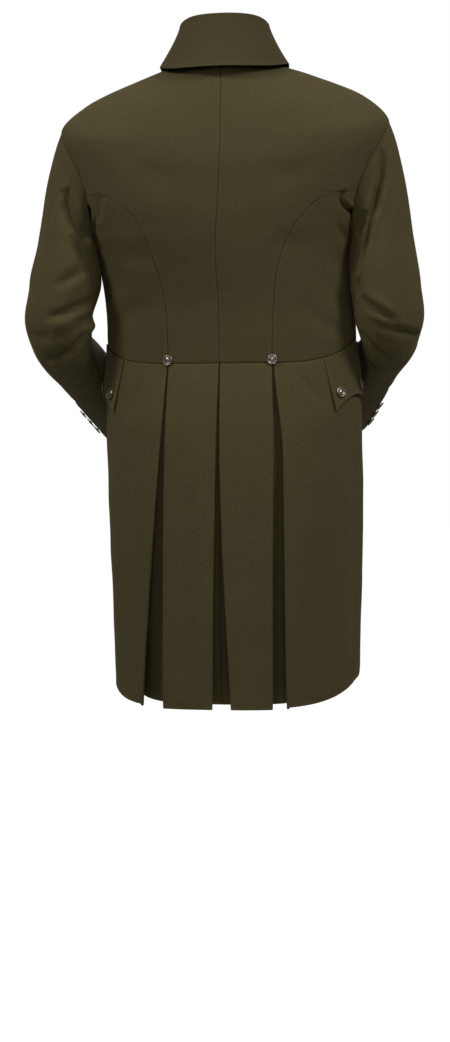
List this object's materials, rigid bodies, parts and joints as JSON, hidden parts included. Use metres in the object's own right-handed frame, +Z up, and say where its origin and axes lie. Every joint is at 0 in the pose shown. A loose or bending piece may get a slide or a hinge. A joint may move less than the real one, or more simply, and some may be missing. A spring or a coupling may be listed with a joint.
{
  "type": "regency tailcoat",
  "caption": "Men's knee-length tailcoat in olive twill with turned-over collar, curved back seams, pleated skirts, scalloped pocket flaps and domed metal buttons.",
  "frame": {"origin": "between the two points where the shoulder seams meet the neckline, where the coat is held on the shoulders", "axes": "+Z up, -Y out of the coat's back, +Y out of its front, +X to the wearer's right"},
  "size_m": [0.6569, 0.3878, 1.1286],
  "materials": {
    "coat_cloth": "brushed cotton twill",
    "button_metal": "antiqued pewter"
  },
  "bodies": {
    "root": {"back_left": "coat_cloth", "back_right": "coat_cloth", "side_back_left": "coat_cloth", "side_back_right": "coat_cloth", "front_left": "coat_cloth", "front_right": "coat_cloth", "top_sleeve_left": "coat_cloth", "top_sleeve_right": "coat_cloth", "under_sleeve_left": "coat_cloth", "under_sleeve_right": "coat_cloth", "tail_left": "coat_cloth", "tail_right": "coat_cloth", "front_skirt_left": "coat_cloth", "front_skirt_right": "coat_cloth", "pocket_flap_left": "coat_cloth", "pocket_flap_right": "coat_cloth", "collar_stand": "coat_cloth", "collar_fall": "coat_cloth", "waist_button_left": "button_metal", "waist_button_right": "button_metal", "flap_button_left_1": "button_metal", "flap_button_left_2": "button_metal", "flap_button_left_3": "button_metal", "flap_button_right_1": "button_metal", "flap_button_right_2": "button_metal", "flap_button_right_3": "button_metal", "cuff_button_left_1": "button_metal", "cuff_button_left_2": "button_metal", "cuff_button_left_3": "button_metal", "cuff_button_right_1": "button_metal", "cuff_button_right_2": "button_metal", "cuff_button_right_3": "button_metal", "front_button_1": "button_metal", "front_button_2": "button_metal", "front_button_3": "button_metal", "front_button_4": "button_metal", "front_button_5": "button_metal"}
  },
  "joints": []
}
